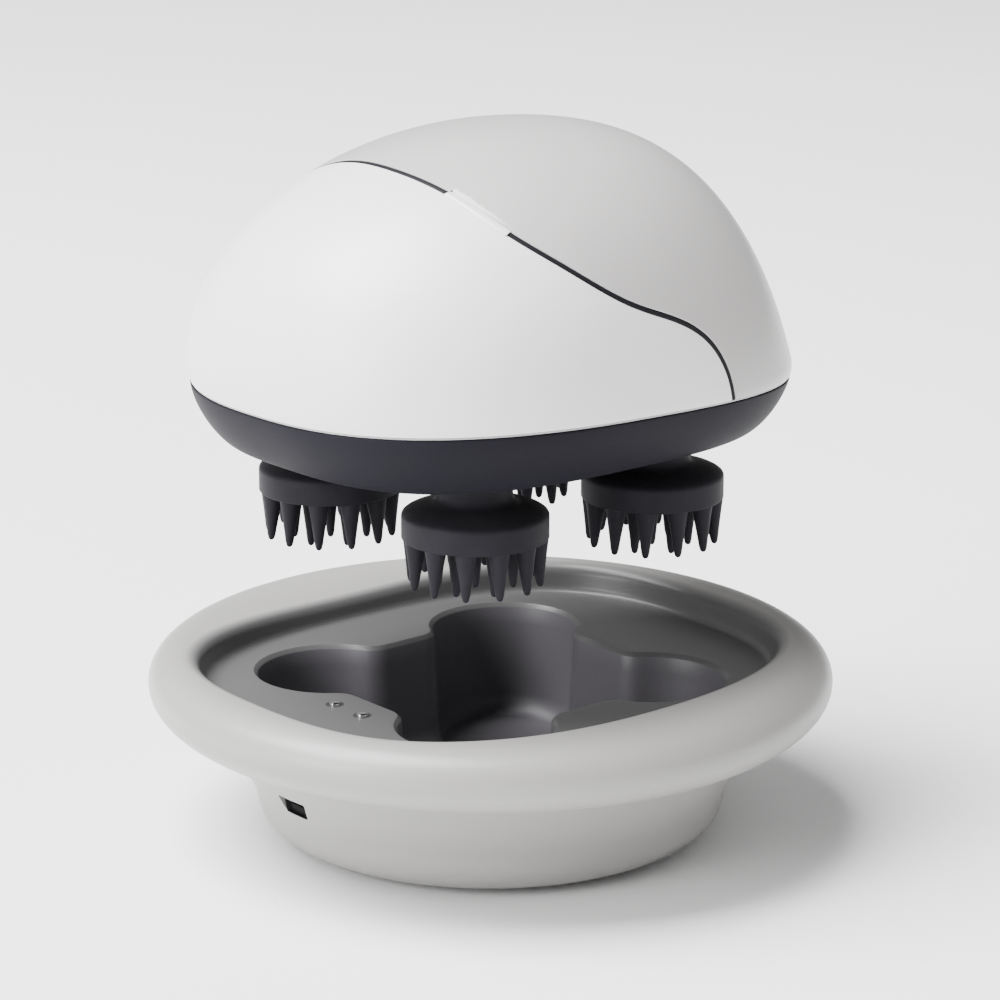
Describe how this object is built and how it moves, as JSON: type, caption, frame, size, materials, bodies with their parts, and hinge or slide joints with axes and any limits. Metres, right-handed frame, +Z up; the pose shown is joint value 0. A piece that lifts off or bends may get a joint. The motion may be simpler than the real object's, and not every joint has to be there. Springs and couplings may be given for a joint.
{
  "type": "electric scalp massager with charging dock",
  "caption": "Oval handheld scalp massager with turning, spiked kneading heads under a domed body, over a round charging dock with a lobed recess that holds the heads.",
  "frame": {"origin": "middle of the dock's footprint, on the surface that its feet stand on", "axes": "+Z up; +X along the long axis of the oval body, away from the dock's cable inlet; +Y to the left of +X seen from above"},
  "size_m": [0.1336, 0.1336, 0.1388],
  "materials": {
    "shell_white": "satin",
    "shell_pearl": "pearl satin",
    "tray_charcoal": "fine matt",
    "inlay_dark": "satin",
    "key_bright": "gloss",
    "silicone_dark": "soft matt",
    "seal_grey": "matt",
    "seal_black": "matt",
    "dock_grey": "satin",
    "dock_dark": "matt",
    "nylon_white": "moulded",
    "structure_black": "moulded",
    "steel": "ground",
    "bronze": "sintered",
    "motor_can": "plated",
    "cell_wrap": "shrink sleeve",
    "board_green": "solder mask",
    "contact_plate": "plated",
    "foot_rubber": "matt",
    "lamp": "diffuse"
  },
  "bodies": {
    "dock": {"dock_bowl": "dock_grey", "dock_cup": "dock_grey", "dock_base_plate": "dock_grey", "dock_feet": "foot_rubber", "dock_screws": "steel", "dock_board": "board_green", "dock_board_screws": "steel", "micro_usb_inlet": "steel", "contact_barrels": "bronze"},
    "massager": {"front_shell": "shell_white", "rear_shell": "shell_pearl", "seam_inlay_rear": "inlay_dark", "seam_inlay_front": "inlay_dark", "key_guide": "structure_black", "button_board": "board_green", "tact_switch": "structure_black", "status_led": "lamp", "base_tray": "tray_charcoal", "tray_seal": "seal_grey", "contact_pads": "contact_plate", "gear_plate": "structure_black", "plate_screws": "steel", "upper_bushes": "bronze", "lower_bushes": "bronze", "shaft_seals": "seal_black", "reduction_gearbox": "steel", "gearbox_screws": "steel", "motor": "motor_can", "battery_cell": "cell_wrap", "battery_cradle": "structure_black", "control_board": "board_green", "board_screws": "steel"},
    "head_front": {"head_cap_front": "silicone_dark", "head_hub_front": "structure_black", "output_shaft_front": "steel", "output_gear_front": "nylon_white"},
    "head_left": {"head_cap_left": "silicone_dark", "head_hub_left": "structure_black", "output_shaft_left": "steel", "output_gear_left": "nylon_white"},
    "head_right": {"head_cap_right": "silicone_dark", "head_hub_right": "structure_black", "output_shaft_right": "steel", "output_gear_right": "nylon_white"},
    "head_rear": {"head_cap_rear": "silicone_dark", "head_hub_rear": "structure_black", "output_shaft_rear": "steel", "output_gear_rear": "nylon_white"},
    "drive": {"sun_gear": "nylon_white", "drive_shaft": "steel"},
    "power_key": {"power_button": "key_bright"},
    "contact_plunger_left": {"contact_pin_left": "contact_plate"},
    "contact_plunger_right": {"contact_pin_right": "contact_plate"}
  },
  "joints": [
    {"name": "dock_lift", "type": "slide", "parent": "dock", "child": "massager", "axis": [0, 0, 1], "range_m": [-0.0491, 0.03]},
    {"name": "head_front_spin", "type": "hinge", "parent": "massager", "child": "head_front", "pos_m": [-0.0221, -0.0221, 0.0715], "axis": [0, 0, 1], "continuous": true},
    {"name": "head_left_spin", "type": "hinge", "parent": "massager", "child": "head_left", "pos_m": [-0.0221, 0.0221, 0.0715], "axis": [0, 0, 1], "continuous": true},
    {"name": "head_right_spin", "type": "hinge", "parent": "massager", "child": "head_right", "pos_m": [0.0221, -0.0221, 0.0715], "axis": [0, 0, 1], "continuous": true},
    {"name": "head_rear_spin", "type": "hinge", "parent": "massager", "child": "head_rear", "pos_m": [0.0221, 0.0221, 0.0715], "axis": [0, 0, 1], "continuous": true},
    {"name": "drive_spin", "type": "hinge", "parent": "massager", "child": "drive", "pos_m": [0, 0, 0.0839], "axis": [0, 0, 1], "continuous": true},
    {"name": "power_key_press", "type": "slide", "parent": "massager", "child": "power_key", "axis": [0, 0.6, -0.8], "range_m": [0, 0.0005], "stiffness_N_per_m": 600},
    {"name": "contact_press_left", "type": "slide", "parent": "dock", "child": "contact_plunger_left", "axis": [0, 0, -1], "range_m": [0, 0.0005], "stiffness_N_per_m": 300},
    {"name": "contact_press_right", "type": "slide", "parent": "dock", "child": "contact_plunger_right", "axis": [0, 0, -1], "range_m": [0, 0.0005], "stiffness_N_per_m": 300}
  ],
  "couplings": [
    {"joint": "head_left_spin", "follows": "head_front_spin", "ratio": 1},
    {"joint": "head_right_spin", "follows": "head_front_spin", "ratio": 1},
    {"joint": "head_rear_spin", "follows": "head_front_spin", "ratio": 1},
    {"joint": "drive_spin", "follows": "head_front_spin", "ratio": -0.78571}
  ]
}
